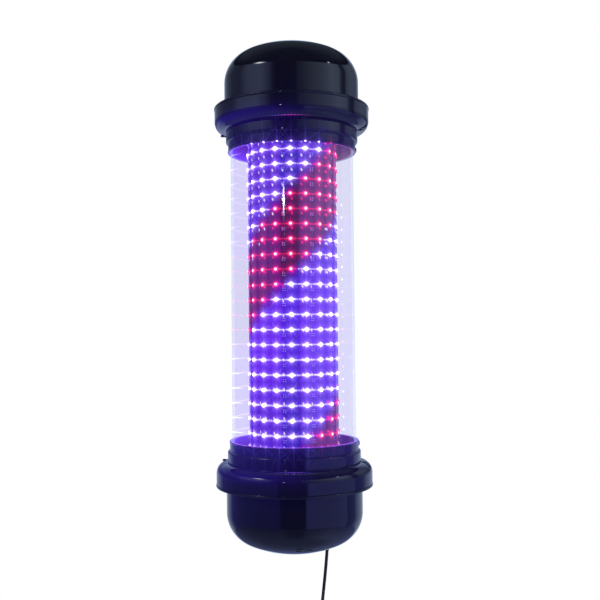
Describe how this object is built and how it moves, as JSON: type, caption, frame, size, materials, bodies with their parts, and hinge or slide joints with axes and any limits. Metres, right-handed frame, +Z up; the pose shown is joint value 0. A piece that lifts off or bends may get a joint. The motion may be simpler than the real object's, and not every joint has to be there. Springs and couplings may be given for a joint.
{
  "type": "barber pole light",
  "caption": "Wall-hung barber pole light: a lit column of LED strips in a clear tube between two domed end caps, on folded steel brackets, with a rocker switch and a mains lead.",
  "frame": {"origin": "centre of the four wall holes of the upper bracket, on the wall plane", "axes": "+Z up along the pole, +Y into the wall, the front faces -Y, +X to the viewer's right"},
  "size_m": [0.202, 0.225, 0.9139],
  "materials": {
    "cap_plastic": "glossy navy-black moulded ABS",
    "clear_plastic": "clear drawn acrylic tube",
    "pipe_plastic": "glossy black pipe",
    "seal_rubber": "soft black seal",
    "carrier_plastic": "moulded black plate",
    "bracket_steel": "black powder-coated folded sheet",
    "bolt_steel": "zinc-plated",
    "black_screw_steel": "black-oxide pan heads",
    "driver_case": "folded case",
    "controller_plastic": "closed case",
    "terminal_plastic": "moulded block",
    "cord_vinyl": "black PVC",
    "switch_plastic": "black nylon",
    "rocker_plastic": "glossy black rocker",
    "contact_brass": "plated contacts",
    "tie_plastic": "soft black strap",
    "plug_vinyl": "moulded black plug",
    "led_strip": "black channel with lit LEDs in violet-white and red"
  },
  "bodies": {
    "pole": {"upper_dome_cap": "cap_plastic", "lower_dome_cap": "cap_plastic", "upper_collar": "cap_plastic", "lower_collar": "cap_plastic", "clear_tube": "clear_plastic", "column_pipe": "pipe_plastic", "upper_cap_gasket": "seal_rubber", "lower_cap_gasket": "seal_rubber", "upper_tube_seal": "seal_rubber", "lower_tube_seal": "seal_rubber", "upper_carrier_plate": "carrier_plastic", "lower_carrier_plate": "carrier_plastic", "upper_wall_bracket": "bracket_steel", "lower_wall_bracket": "bracket_steel", "upper_bracket_bolts": "bolt_steel", "lower_bracket_bolts": "bolt_steel", "upper_cap_screws": "black_screw_steel", "lower_cap_screws": "black_screw_steel", "upper_tube_screws": "black_screw_steel", "lower_tube_screws": "black_screw_steel", "upper_plate_screws": "bolt_steel", "lower_plate_screws": "bolt_steel", "driver_screws": "bolt_steel", "controller_screws": "bolt_steel", "led_driver": "driver_case", "chaser_controller": "controller_plastic", "terminal_block": "terminal_plastic", "led_feed_cable": "cord_vinyl", "mains_cord": "cord_vinyl", "cord_hank": "cord_vinyl", "cord_gland": "cord_vinyl", "gland_nut": "switch_plastic", "switch_housing": "switch_plastic", "switch_terminals": "contact_brass", "hank_tie": "tie_plastic", "plug_body": "plug_vinyl", "plug_blades": "contact_brass", "led_strip_01": "led_strip", "led_strip_02": "led_strip", "led_strip_03": "led_strip", "led_strip_04": "led_strip", "led_strip_05": "led_strip", "led_strip_06": "led_strip", "led_strip_07": "led_strip", "led_strip_08": "led_strip", "led_strip_09": "led_strip", "led_strip_10": "led_strip", "led_strip_11": "led_strip", "led_strip_12": "led_strip", "led_strip_13": "led_strip", "led_strip_14": "led_strip", "led_strip_15": "led_strip", "led_strip_16": "led_strip", "led_strip_17": "led_strip", "led_strip_18": "led_strip", "led_strip_19": "led_strip"},
    "rocker": {"switch_rocker": "rocker_plastic"}
  },
  "joints": [
    {"name": "rocker_tilt", "type": "hinge", "parent": "pole", "child": "rocker", "pos_m": [0, -0.07888, -0.54158], "axis": [1, 0, 0], "range_deg": [0, 24]}
  ]
}
